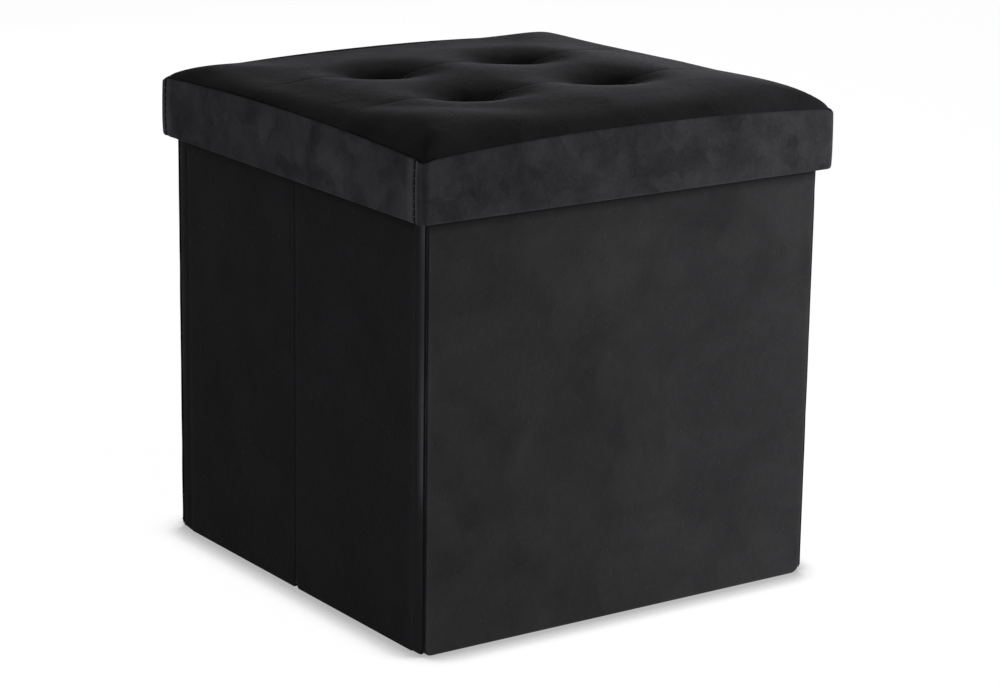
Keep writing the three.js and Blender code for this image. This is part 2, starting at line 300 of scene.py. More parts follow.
# The side walls' velvet is the same cloth in darker greys than the wide walls': painted shade, matched to
# the shaded left side and used on both sides.
side_velvet = crushed_velvet("side_wall_velvet", "#131314", "#1e1e20", patch_mm=75, crush=0.3, sheen=0.12)
# The skirt's and the top's velvet are the same cloth drawn in paler greys: painted light, for the lid's
# better lit faces.
skirt_velvet = crushed_velvet("skirt_velvet", "#1a1a1b", "#3c3c3f", patch_mm=34, crush=0.24, sheen=0.08,
                              flats=0.28)
top_velvet = crushed_velvet("top_velvet", "#252526", "#39393b", patch_mm=60, crush=0.2, sheen=0.09,
                            sheen_spread=0.32)
lining_upright = bonded_lining("bonded_lining_upright", lying=False)
lining_lying = bonded_lining("bonded_lining_lying", lying=True)
# Raw MDF, wood fibre pressed with resin: an even tan with a fine darker fleck.
fibreboard = grained("pressed_fibreboard", "Noise",
                     {"Scale": per_metre(1.5), "Detail": 5.0, "Roughness": 0.7}, "Fac",
                     ("#8a6a48", "#a98a63", 0.3, 0.72), (0.3, 0.1), {"Roughness": 0.85})
# Thin poplar plywood, rotary peeled: long wavering grain in pale yellow.
plywood = grained("raw_plywood", "Noise",
                  {"Scale": per_metre(6), "Detail": 5.0, "Roughness": 0.6, "Distortion": 0.8}, "Fac",
                  ("#b08d5c", "#d3b688"), (0.2, 0.1), {"Roughness": 0.7}, stretch=(0.08, 1.0, 1.0))
# Polyurethane foam, blown and slab cut: cream, matt and full of 1 mm pores, each drawn darker in its middle
# as painted shade.
foam = grained("open_cell_foam", "Voronoi", {"Scale": per_metre(1.2)}, "Distance",
               ("#b9ae8e", "#e9e2cb", 0.05, 0.45), (0.5, 0.4),
               {"Roughness": 0.95, "Specular IOR Level": 0.2})
sewing_thread = spun_thread("sewing_thread", "#161618", "#303033")
tufting_twine = spun_thread("tufting_twine", "#222224", "#3a3a3d")
# Black nylon, injection moulded: a satin skin with a faint sparked grain.
nylon = grained("moulded_nylon", "Noise", {"Scale": per_metre(0.8), "Detail": 2.0}, "Fac",
                ("#18181a", "#212124"), (0.25, 0.05), {"Roughness": 0.45, "IOR": 1.53})
# Black polyester grosgrain, woven with a rib across it every millimetre that catches the light.
ribbon_weave = grained("grosgrain_ribbon", "Wave",
                       {"bands_direction": "Z", "Scale": per_metre(1.0) * WAVE_PERIOD, "Distortion": 0.2},
                       "Fac", ("#121213", "#2c2c2f", 0.15, 0.9), (0.7, 0.25),
                       {"Roughness": 0.6, "Specular IOR Level": 0.4})


# -------- mesh helpers
def new_object(name, data):
    made = bpy.data.objects.new(name, data)
    bpy.context.scene.collection.objects.link(made)
    return made


def mesh_piece(name, points, faces, material):
    mesh = bpy.data.meshes.new(name)
    mesh.from_pydata([tuple(p) for p in points], [], faces)
    mesh.validate()
    mesh.polygons.foreach_set("use_smooth", [True] * len(mesh.polygons))
    mesh.materials.append(material)
    return new_object(name, mesh)


def grid_faces(rows, columns, start=0):
    """Quads of a grid whose points run along each row in turn."""
    return [
        (start + r * columns + c, start + r * columns + c + 1,
         start + (r + 1) * columns + c + 1, start + (r + 1) * columns + c)
        for r in range(rows - 1) for c in range(columns - 1)
    ]


def rim_of(columns, rows):
    """The places (column, row) round the edge of a grid, in turn."""
    return ([(i, 0) for i in range(columns - 1)] + [(columns - 1, j) for j in range(rows - 1)]
            + [(i, rows - 1) for i in range(columns - 1, 0, -1)] + [(0, j) for j in range(rows - 1, 0, -1)])


def border_faces(ring, start):
    """Quads from a closed ring of points to the ring that begins at start."""
    count = len(ring)
    return [(ring[k], start + k, start + (k + 1) % count, ring[(k + 1) % count]) for k in range(count)]


def tube_faces(start, rings, sides):
    """Quads along a tube whose rings of points follow each other, and a face over each end."""
    faces = []
    for ring in range(rings - 1):
        for k in range(sides):
            a = start + ring * sides + k
            b = start + ring * sides + (k + 1) % sides
            faces.append((a, b, b + sides, a + sides))
    last = start + (rings - 1) * sides
    faces.append(tuple(start + k for k in reversed(range(sides))))
    faces.append(tuple(last + k for k in range(sides)))
    return faces


def mark_painted_tones(piece, painted_tones):
    """Notes at each point how much painted light or shade its velvet draws there.

    1 is a full painted highlight, and -1 full painted shade."""
    noted = piece.data.attributes.new("painted_tone", "FLOAT", "POINT")
    noted.data.foreach_set("value", np.asarray(painted_tones, float).ravel())


def thicken(piece, thickness, flipped=False):
    """Gives cloth its thickness on the inner side. A grid drawn mirrored is flipped first."""
    if flipped:
        piece.data.flip_normals()
    solid = piece.modifiers.new("cloth thickness", "SOLIDIFY")
    solid.thickness = thickness
    solid.offset = -1.0
    bake_modifiers(piece)


def bake_modifiers(piece):
    """Applies a piece's modifiers, so that its mesh is its final one."""
    bpy.context.view_layer.update()
    shaped = piece.evaluated_get(bpy.context.evaluated_depsgraph_get())
    mesh = bpy.data.meshes.new_from_object(shaped)
    piece.modifiers.clear()
    piece.data = mesh
    mesh.polygons.foreach_set("use_smooth", [True] * len(mesh.polygons))


def turned(points, side, half):
    """Points drawn along a front face, as (across, depth, up), turned to their side of the box."""
    turn = TURN[side]
    x, depth, up = np.asarray(points, float).reshape(-1, 3).T
    y, cos, sin = depth - half, math.cos(turn), math.sin(turn)
    return np.stack([x * cos - y * sin, x * sin + y * cos, up], 1)


def steps(low, high, fine_ends, fine, coarse):
    """Grid lines from low to high, closer together over a stretch at each end."""
    ends = max(1, round(fine_ends / fine))
    middle = max(1, round((high - low - 2 * fine_ends) / coarse))
    return np.concatenate([
        np.linspace(low, low + fine_ends, ends, endpoint=False),
        np.linspace(low + fine_ends, high - fine_ends, middle, endpoint=False),
        np.linspace(high - fine_ends, high, ends + 1),
    ])


def ripple(place, size, height, seed):
    """A gentle swell of the cloth: features of this size, up to this height."""
    at = Vector(place) / size
    return height * noise.noise(at + Vector((seed, 2 * seed, 3 * seed)))


# -------- stitches
def stitch_row(name, path, out, stitch, body, lift=0.0, crossing=False):
    """One row of thread stitches along a path or crossing it, each a short bead lying on the cloth."""
    pitch, length, radius = stitch
    path = np.asarray(path, float)
    out = np.broadcast_to(np.asarray(out, float), path.shape)
    run = np.concatenate([[0], np.cumsum(np.linalg.norm(np.diff(path, axis=0), axis=1))])
    points, faces = [], []
    rings = ((-0.5, 0.25), (-0.34, 0.85), (0.0, 1.0), (0.34, 0.85), (0.5, 0.25))    # along, thickness
    sides = 6
    flattened = 0.8
    tiny = 1e-12

    def at(distance, field):
        return np.array([np.interp(distance, run, field[:, i]) for i in range(3)])

    for centre in np.arange(pitch / 2, run[-1], pitch):
        spot = at(centre, path)
        normal = at(centre, out)
        along = at(centre + length / 2, path) - at(centre - length / 2, path)
        along /= np.linalg.norm(along) + tiny
        normal -= along * normal.dot(along)
        normal /= np.linalg.norm(normal) + tiny
        across = np.cross(along, normal)
        if crossing:
            along, across = across, -along
        start = len(points)
        for shift, swell in rings:
            hub = spot + along * shift * length + normal * lift
            for k in range(sides):
                angle = 2 * math.pi * k / sides
                spoke = math.cos(angle) * across + flattened * math.sin(angle) * normal
                points.append(hub + radius * swell * spoke)
        faces += tube_faces(start, len(rings), sides)
    row = mesh_piece(name, points, faces, sewing_thread)
    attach(row, body)


# -------- box walls
EDGE = 1.5 * MM    # radius of the cloth's turn round a wide board's edge
FOLDING_EDGE = 0.8 * MM    # and round a folding half's
BORDER = 11 * MM    # how much of it lies on the board's back
COVER_BACK = 6.4 * MM    # depth of that back
FINE, COARSE = 1.6 * MM, 7 * MM    # the cloth's grid, near edges and in the middle
# The skirt's painted shadow on the walls: grid lines and the depths of the painted shadow band, in mm over
# the hem's height.
HEM_LINES = (-10, -8.5, -7, -5.5, -4, -2.5, -1, 0.5, 3, 6, 9)
HEM_CLEAR = 11 * MM
HEM_SHADOW_DEPTHS = (-9.5, -2.5, 5)


def panel_cover(name, side, half, across, up, radii, edge, back, border, material, thickness,
                puff=0.0, swell=0.0, seed=0.0, painted_edge_light=(0.0, 0.0), painted_turn_tone=(0.0, 0.0), hem_shadow_height=None):
    """Cloth stretched over one board and turned round its edges on to the back.

    radii are the outline's corner radii: low left, low right, high right, high left. painted_edge_light is
    how much painted highlight lies along the left and right edge, and painted_turn_tone the painted light
    or shade round on the edge itself. hem_shadow_height is the height where the lid's hem sits: a painted
    shadow of its skirt darkens the pile below there and above."""
    (u0, u1), (z0, z1) = across, up
    reach = max(radii) - edge
    us = steps(u0 + edge, u1 - edge, max(reach, 2 * MM), FINE, COARSE)
    zs = steps(z0 + edge, z1 - edge, max(reach, 2 * MM), FINE, COARSE)
    if hem_shadow_height:
        zs = [z for z in zs if abs(z - hem_shadow_height) > HEM_CLEAR]
        zs = np.array(sorted(zs + [hem_shadow_height + d * MM for d in HEM_LINES]))
    corners = {(-1, -1): radii[0], (1, -1): radii[1], (1, 1): radii[2], (-1, 1): radii[3]}
    place, outward = {}, {}
    for j, z in enumerate(zs):
        for i, u in enumerate(us):
            point, normal = np.array([u, z]), np.zeros(2)
            for (su, sz), radius in corners.items():
                r = max(radius - edge, 0.3 * MM)
                hub = np.array([(u1 - edge - r) if su > 0 else (u0 + edge + r),
                                (z1 - edge - r) if sz > 0 else (z0 + edge + r)])
                d = (point - hub) * (su, sz)
                if min(d) > 1e-9:
                    d_round = d / np.linalg.norm(d)
                    normal = d_round * (su, sz)
                    point = hub + d_round * max(d) * (su, sz)
                    break
            if not normal.any():
                normal = np.array([(i == len(us) - 1) * 1.0 - (i == 0) * 1.0,
                                   (j == len(zs) - 1) * 1.0 - (j == 0) * 1.0])
                normal = normal / (np.linalg.norm(normal) or 1.0)
            place[i, j], outward[i, j] = point, normal
    n, m = len(us), len(zs)
    painted_light_width = 3.2 * MM
    firm_border = 14 * MM
    points, painted_tones = [], []
    for j in range(m):
        for i in range(n):
            u, z = place[i, j]
            inside = min(u - u0, u1 - u, z - z0, z1 - z)
            free = 1 - math.exp(-max(inside - edge, 0) / firm_border)
            rise = puff * free + free * ripple((u, z, seed), 55 * MM, swell, seed)
            points.append((u, -rise, z))
            # Painted highlight along the face's left and right edge.
            painted_light_share = (painted_edge_light[0] * math.exp(-((u - u0) / painted_light_width) ** 2)
                      + painted_edge_light[1] * math.exp(-((u1 - u) / painted_light_width) ** 2))
            hem_shadow = 0
            # Painted shadow of the lid's skirt on the wall, darkest just under its hem.
            if hem_shadow_height:
                hem_shadow = np.interp(z, [*(hem_shadow_height + h * MM for h in HEM_SHADOW_DEPTHS), z1], (0, 1, 1, 0.3))
            painted_tones.append(painted_light_share * (1 - hem_shadow) - hem_shadow)
    faces = grid_faces(m, n)
    loop = rim_of(n, m)
    ring = [j * n + i for i, j in loop]
    turns = [math.radians(a) for a in (15, 30, 45, 60, 75, 90)]
    profile = [(edge * math.sin(a), edge * (1 - math.cos(a))) for a in turns]
    soft = min(1.0 * MM, edge)
    profile += [(edge, back - soft), (edge - 0.3 * soft, back - 0.3 * soft), (edge - soft, back)]
    profile += [(edge - border, back)]
    for outset, depth in profile:
        start = len(points)
        for i, j in loop:
            u, z = place[i, j] + outward[i, j] * outset
            points.append((u, depth, z))
            # Painted light or shade round the cover's left and right edge.
            painted_tones.append(painted_turn_tone[0] if i == 0 else painted_turn_tone[1] if i == n - 1 else 0.0)
        faces += border_faces(ring, start)
        ring = [start + k for k in range(len(loop))]
    piece = mesh_piece(name, turned(points, side, half), faces, material)
    mark_painted_tones(piece, painted_tones)
    thicken(piece, thickness)
    return piece


def lining_sheet(name, side, half, across, up, depth, material, seed):
    """A flat inner lining with a slight slackness, facing into the box."""
    us = np.linspace(*across, max(2, round((across[1] - across[0]) / (8 * MM))))
    zs = np.linspace(*up, max(2, round((up[1] - up[0]) / (8 * MM))))
    points = [(u, depth + ripple((u, z, seed), 40 * MM, 0.12 * MM, seed), z) for z in zs for u in us]
    sheet = mesh_piece(name, turned(points, side, half), grid_faces(len(zs), len(us)), material)
    thicken(sheet, LINING)
    return sheet


WIDE = (-SIDE_OUTER + SEAM_FROM_CORNER, SIDE_OUTER - SEAM_FROM_CORNER)
WALLS = {
    "front_wall": ("front", WIDE, (7 * MM, 8 * MM)),
    "back_wall": ("back", WIDE, (2 * MM, 2.5 * MM)),
    "left_rear_wall": ("left", (-SIDE_END, -CREASE), (2 * MM, 3 * MM)),
    "left_front_wall": ("left", (CREASE, SIDE_END), (3 * MM, 2 * MM)),
    "right_front_wall": ("right", (-SIDE_END, -CREASE), (2 * MM, 3 * MM)),
    "right_rear_wall": ("right", (CREASE, SIDE_END), (3 * MM, 2 * MM)),
}
# Painted light and shade along a cover's left and right edge: on the face, then round on the edge itself.
# A folding half's first edge is at the corner and its second at the crease.
WIDE_EDGE_PAINT = (0.18, 0.18), (-0.3, -0.3)
FOLDING_EDGE_PAINT = (0.1, 0.0), (0.3, -0.6)


def build_wall(name, seed):
    side, across, low_corners = WALLS[name]
    folding = side in ("left", "right")
    high_corners = (2.5 * MM, 2.5 * MM) if folding else (TOP_CORNER, TOP_CORNER)
    painted_edge_light, painted_turn_tone = FOLDING_EDGE_PAINT if folding else WIDE_EDGE_PAINT
    if across[0] == CREASE:
        painted_edge_light, painted_turn_tone = painted_edge_light[::-1], painted_turn_tone[::-1]
    half = SIDE_OUTER if folding else OUTER
    cover = panel_cover(f"{name}_cover", side, half, across, (0.0, WALL_TOP), low_corners + high_corners,
                        FOLDING_EDGE if folding else EDGE, COVER_BACK + half - HALF_BOX, BORDER,
                        side_velvet if folding else velvet, VELVET,
                        puff=0.25 * MM, swell=0.5 * MM, seed=seed, painted_edge_light=painted_edge_light,
                        painted_turn_tone=painted_turn_tone, hem_shadow_height=SKIRT_LOW)
    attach(cover, name)
    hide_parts(f"{name}_velvet")
    if folding:
        # Folded, the halves' outer faces press together and their soft covers flatten on to the boards.
        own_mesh(cover)
    inset = 7 * MM
    low, high = across
    if not folding:
        low, high = -HALF_BOX + WALL_DEPTH, HALF_BOX - WALL_DEPTH
        inset = 0.4 * MM
    inner = lining_sheet(f"{name}_inner", side, HALF_BOX, (low + inset, high - inset),
                         (5 * MM, WALL_TOP - 8 * MM), WALL_DEPTH - LINING, lining_upright, seed)
    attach(inner, name)
    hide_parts(f"{name}_lining")
    hem_up = WALL_TOP - 10 * MM
    row = [(u, WALL_DEPTH, hem_up) for u in np.linspace(low + inset + MM, high - inset - MM, 30)]
    inward = turned([(0, 1 + HALF_BOX, 0)], side, HALF_BOX)[0]
    stitch_row(f"{name}_hem_stitches", turned(row, side, HALF_BOX), inward, HEM_STITCH, name)


for seed, wall_name in enumerate(WALLS):
    build_wall(wall_name, seed + 1.3)


# -------- cloth hinges at the corners
# The cloth's ends in plan, in mm: how it dives into the seam, and in beside the folding wall's cover.
INTO_SEAM = ((0.9, 2.4), (0.86, 1.7), (0.8, 1.3))
INTO_COVER = ((0.0, 4.0), (0.05, 3.0), (0.1, 2.0), (0.1, 0.9), (0.15, 0.4), (0.4, 0.1), (1.0, 0.02),
              (2.4, 0.0))


def corner_path():
    """Plan of the cloth at one corner: a in from the folding wall's face, b from the wide wall's."""
    end = OUTER - SIDE_END - 0.15 * MM
    path = [(a * MM, b * MM) for a, b in INTO_SEAM]
    path += [(CORNER_ROUND * (1 - math.sin(angle)), CORNER_RUN * (1 - math.cos(angle)))
             for angle in np.linspace(0.56, math.pi / 2, 9)]
    path += [(a * MM, end - b * MM) for a, b in INTO_COVER]
    return np.array(path)


# Painted highlight along each corner, strongest along its upper part and on the front left corner.
CORNER_PAINTED_LIGHT = {"front_left": 1.9, "front_right": 0.4, "back_left": 0.5, "back_right": 0.4}
CORNER_LIGHT_LEVELS = (0, 0.3, 0.38, 0.56, 0.66, 0.84, 0.9, 1)
CORNER_LIGHT = (0.05, 0.15, 1, 1.1, 0.65, 0.65, 1, 1)
SEAM_PAINTED_SHADE = (-0.8, -0.6, -0.1)    # and painted shade where the cloth dives into the seam


def corner_cloth(name, sx, sy, wide_wall):
    """The velvet that wraps one upright corner, from its seam to the edge of the folding wall."""
    path = corner_path()
    tangent = np.gradient(path, axis=0)
    normal = np.stack([tangent[:, 1], -tangent[:, 0]], 1)
    normal /= np.linalg.norm(normal, axis=1)[:, None]
    radius = BOTTOM_CORNERS[name]
    from_corner = np.clip(path.max(axis=1), 0, radius)
    low = radius - np.sqrt(radius ** 2 - (radius - from_corner) ** 2) + 0.3 * MM
    top = WALL_TOP - 0.8 * MM
    levels = np.concatenate([[0.0, 0.003, 0.007, 0.012], np.linspace(0.02, 0.98, 60), [0.99, 0.996, 1.0]])
    tucked_share = 0.007
    points = []
    for level in levels:
        ends = max(0.0, 1 - level / tucked_share) ** 2 + max(0.0, 1 - (1 - level) / tucked_share) ** 2
        tuck = 1.2 * MM * ends
        for k, (a, b) in enumerate(path):
            z = low[k] + (top - low[k]) * level
            wave = 0.12 * MM + ripple((a, b, z), 30 * MM, 0.12 * MM, sx + 2 * sy)
            a_in = a + normal[k, 0] * (tuck + wave)
            b_in = b + normal[k, 1] * (tuck + wave)
            points.append((sx * (SIDE_OUTER - a_in), sy * (OUTER - b_in), z))
    faces = grid_faces(len(levels), len(path))
    cloth = mesh_piece(f"{name}_corner_cloth", points, faces, side_velvet)
    # Painted highlight on the corner cloth near the wide wall's seam, and painted shade in the seam itself.
    painted_light_width = 11 * MM
    painted_light_share = np.clip(1 - path[:, 1] / painted_light_width, 0, 1) ** 1.2
    corner_light_share = np.interp(levels, CORNER_LIGHT_LEVELS, CORNER_LIGHT) * CORNER_PAINTED_LIGHT[name]
    painted_tones = corner_light_share[:, None] * painted_light_share[None, :]
    painted_tones[:, :len(SEAM_PAINTED_SHADE)] = SEAM_PAINTED_SHADE
    mark_painted_tones(cloth, painted_tones)
    mirrored = sx * sy > 0
    thicken(cloth, VELVET, mirrored)
    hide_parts(f"{name}_corner_hinge")
    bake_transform(cloth)

    depth = WALL_DEPTH - 0.3 * MM
    inner_path = [(9.0 * MM, depth), (7.9 * MM, depth + 0.3 * MM), (depth + 0.35 * MM, 8.0 * MM),
                  (depth, 9.0 * MM), (depth, 13.4 * MM)]
    heights = np.linspace(1.2 * MM, WALL_TOP - 3 * MM, 40)
    points = [(sx * (HALF_BOX - a), sy * (HALF_BOX - b), z) for z in heights for a, b in inner_path]
    faces = grid_faces(len(heights), len(inner_path))
    tape = mesh_piece(f"{name}_inner_tape", points, faces, lining_upright)
    thicken(tape, LINING, mirrored)
    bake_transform(tape)

    heights = np.linspace(12 * MM, WALL_TOP - 4 * MM, 40)
    seam = [(sx * (SIDE_OUTER - 1.1 * MM), sy * (OUTER - 0.9 * MM), z) for z in heights]
    stitch_row(f"{name}_seam_stitches", seam, (0, sy, 0), CORNER_STITCH, wide_wall, crossing=True)


corner_cloth("front_left", -1, -1, "front_wall")
corner_cloth("front_right", 1, -1, "front_wall")
corner_cloth("back_left", -1, 1, "back_wall")
corner_cloth("back_right", 1, 1, "back_wall")


def crease_cloth(side, sx):
    """The velvet that carries on across a folding wall's middle, a shallow groove."""
    half, sunk, cupped = 1.6, 0.3 * MM, 0.15 * MM
    ys = np.linspace(-half, half, 9) * MM
    zs = np.linspace(3.5 * MM, WALL_TOP - 2 * MM, 60)
    points = [(sx * (SIDE_OUTER - sunk + cupped * (y / (half * MM)) ** 2), y, z) for z in zs for y in ys]
    cloth = mesh_piece(f"{side}_crease_cloth", points, grid_faces(len(zs), len(ys)), side_velvet)
    thicken(cloth, VELVET, sx < 0)
    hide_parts(f"{side}_crease_hinge")
    return cloth


left_crease = crease_cloth("left", -1)
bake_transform(left_crease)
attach(crease_cloth("right", 1), "right_rear_wall")


# -------- floor of the box
def bottom_cloth():
    """The sewn-in bottom: a single lining sheet, slightly slack between the walls."""
    low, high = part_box("bottom_cloth")
    count = 60
    lines = np.linspace(low.x, high.x, count)
    points = []
    for y in lines:
        for x in lines:
            free = (1 - (x / high.x) ** 4) * (1 - (y / high.y) ** 4)
            sag = 1.2 * MM * free * (0.6 + noise.noise(Vector((x, y, 0)) / (60 * MM)))
            points.append((x, y, high.z - sag * 0.6))
    cloth = mesh_piece("bottom_lining", points, grid_faces(count, count), lining_lying)
    thicken(cloth, LINING)
    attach(cloth, "back_wall")
    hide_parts("bottom_cloth")
    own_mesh(cloth)


bottom_cloth()


def wrapped_base_board():
    """The stiff floor board in its non-woven wrap, folded up against the back wall."""
    low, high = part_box("base_board_wrap")
    depth = high.y - low.y
    wrap = panel_cover("base_board_cloth", "front", -low.y, (low.x, high.x), (low.z, high.z),
                       [3 * MM] * 4, 1.2 * MM, depth - 0.2 * MM, 14 * MM, lining_upright, LINING, seed=9.1)
    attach(wrap, "back_wall")
    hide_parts("base_board_wrap")


wrapped_base_board()


def pull_ribbon():
    """A woven ribbon loop at the base board's free edge."""
    low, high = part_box("base_board_pull_tab")
    centre = (low + high) / 2
    span = high.z - low.z
    rows, columns = 17, 9
    points = []
    for k in range(rows):
        angle = math.pi * k / (rows - 1)
        z = low.z - 6 * MM + (span + 5 * MM) * math.sin(angle) ** 0.6
        y = centre.y + 0.7 * MM * math.cos(angle)
        for x in np.linspace(low.x, high.x, columns):
            points.append((x, y, min(z, high.z)))
    ribbon = mesh_piece("base_board_ribbon", points, grid_faces(rows, columns), ribbon_weave)
    thicken(ribbon, 0.4 * MM)
    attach(ribbon, "back_wall")
    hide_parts("base_board_pull_tab")


pull_ribbon()


# -------- lid: skirt
HEM_EDGE = 2.2 * MM    # radius of the cloth's turn at the hem
SEAM_EDGE = 1.8 * MM    # and at the seam to the top
# How the ends of the band's pieces roll into its corner seams, in mm: how far in from its face, and
# how far back along it.
WIDE_ENDS = ((3.4, 0.0), (2.0, -0.1), (1.1, -0.45), (0.4, -1.1), (0.0, -2.0))
SHORT_ENDS = ((3.4, 0.0), (2.0, 0.15), (1.1, 0.6), (0.4, 1.5), (-0.05, 2.9), (-0.2, 4.4))


def seam_height(x, y):
    """Height of the lid's edge seam, which bows up between the corners and dips at them."""
    u = np.clip(np.abs(x) / SKIRT_OUT, 0, 1)
    v = np.clip(np.abs(y) / SKIRT_OUT, 0, 1)
    corner = np.clip((u - 0.94) / 0.06, 0, 1) * np.clip((v - 0.94) / 0.06, 0, 1)
    bow = SKIRT_BOW["y"] * (1 - u ** 2.2) * v ** 6 + SKIRT_BOW["x"] * (1 - v ** 2.2) * u ** 6
    return SKIRT_TOP + bow - 3 * MM * corner ** 1.5


def skirt_plan(side):
    """Plan of one piece of the band, end to end, as a front side: x, y and the outward direction.

    The wide pieces turn the lid's corners and are seamed to the short ones just past them."""
    r, out = SKIRT_CORNER, SKIRT_OUT
    if side in ("front", "back"):
        end = out - SKIRT_WRAP
        plan = [(-out + a * MM, -end + b * MM, -1, 0) for a, b in WIDE_ENDS]
        plan.append((-out - 0.2 * MM, -out + r + 0.2 * MM, -1, 0))
        for angle in np.linspace(math.pi, 1.5 * math.pi, 10):
            cos, sin = math.cos(angle), math.sin(angle)
            plan.append((-out + r + r * cos, -out + r + r * sin, cos, sin))
        start = -out + r
    else:
        end = out - SKIRT_WRAP - 0.3 * MM
        plan = [(-end + b * MM, -out + a * MM, 0, -1) for a, b in SHORT_ENDS]
        start = -end + 6.5 * MM
    plan += [(x, -out, 0, -1) for x in np.linspace(start, 0, 40)[1:]]
    mirrored = [(-x, y, -nx, ny) for x, y, nx, ny in reversed(plan[:-1])]
    return np.array(plan + mirrored)


def skirt_side(side):
    """One piece of the lid's velvet band: hemmed round its board below, seamed to the top above."""
    plan = skirt_plan(side)
    deep = SKIRT_OUT - SKIRT_IN
    points, painted_tones = [], []
    for x, y, nx, ny in plan:
        level_x, level_y, _ = turned([(x, y, 0)], side, 0)[0]
        across, along = (abs(y), abs(x)) if side in ("front", "back") else (abs(x), abs(y))
        # Painted highlight beside a corner seam, and painted shade where the cloth sinks into it.
        from_seam = math.hypot(SKIRT_OUT - SKIRT_WRAP - across, SKIRT_OUT - along)
        sunk = min(1.0, (SKIRT_OUT - along) / (1.2 * MM)) if from_seam < 5 * MM else 0.0
        top = float(seam_height(level_x, level_y))
        turning = abs(nx * ny) > 1e-6
        column = [(4.0 * MM, top - 5 * MM), (2.8 * MM, top - 2.2 * MM), (2.1 * MM, top - 1.0 * MM)]
        for degrees in (60, 40, 20, 0):
            angle = math.radians(degrees)
            column.append((SEAM_EDGE * (1 - math.cos(angle)), top - SEAM_EDGE * (1 - math.sin(angle))))
        for level in np.linspace(0.06, 0.94, 9):
            z = top + (SKIRT_LOW - top) * level
            swell = ripple((level_x, level_y, z), 32 * MM, 0.6 * MM, 3.0) + 0.5 * MM
            column.append((-swell * math.sin(math.pi * level), z))
        for degrees in (0, 22, 45, 67, 90):
            angle = math.radians(degrees)
            column.append((HEM_EDGE * (1 - math.cos(angle)), SKIRT_LOW + HEM_EDGE * (1 - math.sin(angle))))
        column += [(deep - 1.5 * MM, SKIRT_LOW), (deep - 0.4 * MM, SKIRT_LOW + 0.4 * MM),
                   (deep, SKIRT_LOW + 1.5 * MM)]
        column += [(deep, SKIRT_LOW + h * MM) for h in (9, 17, 25)]
        for depth, z in column:
            inward = min(depth, SKIRT_CORNER - 0.4 * MM) if turning else depth
            points.append((x - nx * inward, y - ny * inward, z))
            painted_tones.append(math.exp(-(from_seam / (4.5 * MM)) ** 2) * (1 - sunk) - 0.9 * sunk)
    faces = grid_faces(len(plan), len(points) // len(plan))
    band = mesh_piece(f"{side}_skirt_cover", turned(points, side, 0), faces, skirt_velvet)
    mark_painted_tones(band, painted_tones)
    thicken(band, VELVET)
    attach(band, "lid")
    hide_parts(f"{side}_skirt_velvet")


for side_name in TURN:
    skirt_side(side_name)


def skirt_corner_stitches(sx, sy):
    """Thread crossing the upright seam where two pieces of the band meet, and a row beside it."""
    name = f"{'front' if sy < 0 else 'back'}_{'left' if sx < 0 else 'right'}"
    heights = np.linspace(SKIRT_LOW + 3 * MM, SKIRT_TOP - 4 * MM, 20)
    for row, stitch, proud, behind in (("seam", SKIRT_SEAM_STITCH, 0.1 * MM, 0.15 * MM),
                                       ("side", SKIRT_SIDE_STITCH, 0.25 * MM, 3.2 * MM)):
        path = [(sx * (SKIRT_OUT + proud), sy * (SKIRT_OUT - SKIRT_WRAP - behind), z) for z in heights]
        stitch_row(f"{name}_skirt_{row}_stitches", path, (sx, 0, 0), stitch, "lid",
                   crossing=row == "seam")


for corner_x in (-1, 1):
    for corner_y in (-1, 1):
        skirt_corner_stitches(corner_x, corner_y)


# -------- lid: cushion
def cushion_height(x, y):
    """Height of the stuffed top: drawn down to its edge seam, crowned, hollowed at the buttons."""
    u = np.clip(np.abs(x) / TOP_HALF, 0, 1)
    v = np.clip(np.abs(y) / TOP_HALF, 0, 1)
    stretch = SKIRT_OUT / TOP_HALF
    slope_x = np.maximum(1 - u ** 6.0, 1e-6)
    slope_y = np.maximum(1 - v ** 6.0, 1e-6)
    squareness = 3.75
    shoulder = (slope_x ** -squareness + slope_y ** -squareness - 1) ** (-0.86 / squareness)
    fuller_in_front = -FRONT_RISE * y / TUFT_REACH
    height = seam_height(x * stretch, y * stretch) - 1.2 * MM + (CROWN + fuller_in_front) * shoulder
    for centre in TUFTS.values():
        away = np.hypot(x - centre.x, y - centre.y)
        height = height - HOLLOW * np.exp(-(away / HOLLOW_RADIUS) ** 2)
        pit = DIMPLE - FRONT_RISE * centre.y / TUFT_REACH
        height = height - pit * np.exp(-(away / DIMPLE_RADIUS) ** 2.3)
    return height


def rounded_plan(x, y):
    """Draws the corners of a square plan in to the lid's rounded corners."""
    r = SKIRT_CORNER - (SKIRT_OUT - TOP_HALF)
    hub = TOP_HALF - r
    dx, dy = np.maximum(np.abs(x) - hub, 0), np.maximum(np.abs(y) - hub, 0)
    scale = np.maximum(dx, dy) / np.maximum(np.hypot(dx, dy), 1e-9)
    both = (dx > 0) & (dy > 0)
    new_x = np.where(both, np.sign(x) * (hub + dx * scale), x)
    new_y = np.where(both, np.sign(y) * (hub + dy * scale), y)
    return new_x, new_y


TOP_PRESSURE = 1.2
TOP_FRAMES = 25
TOP_MOVE = 6 * MM    # the stuffing stops the cloth after this
TOP_WADDING = 30    # rounds of smoothing


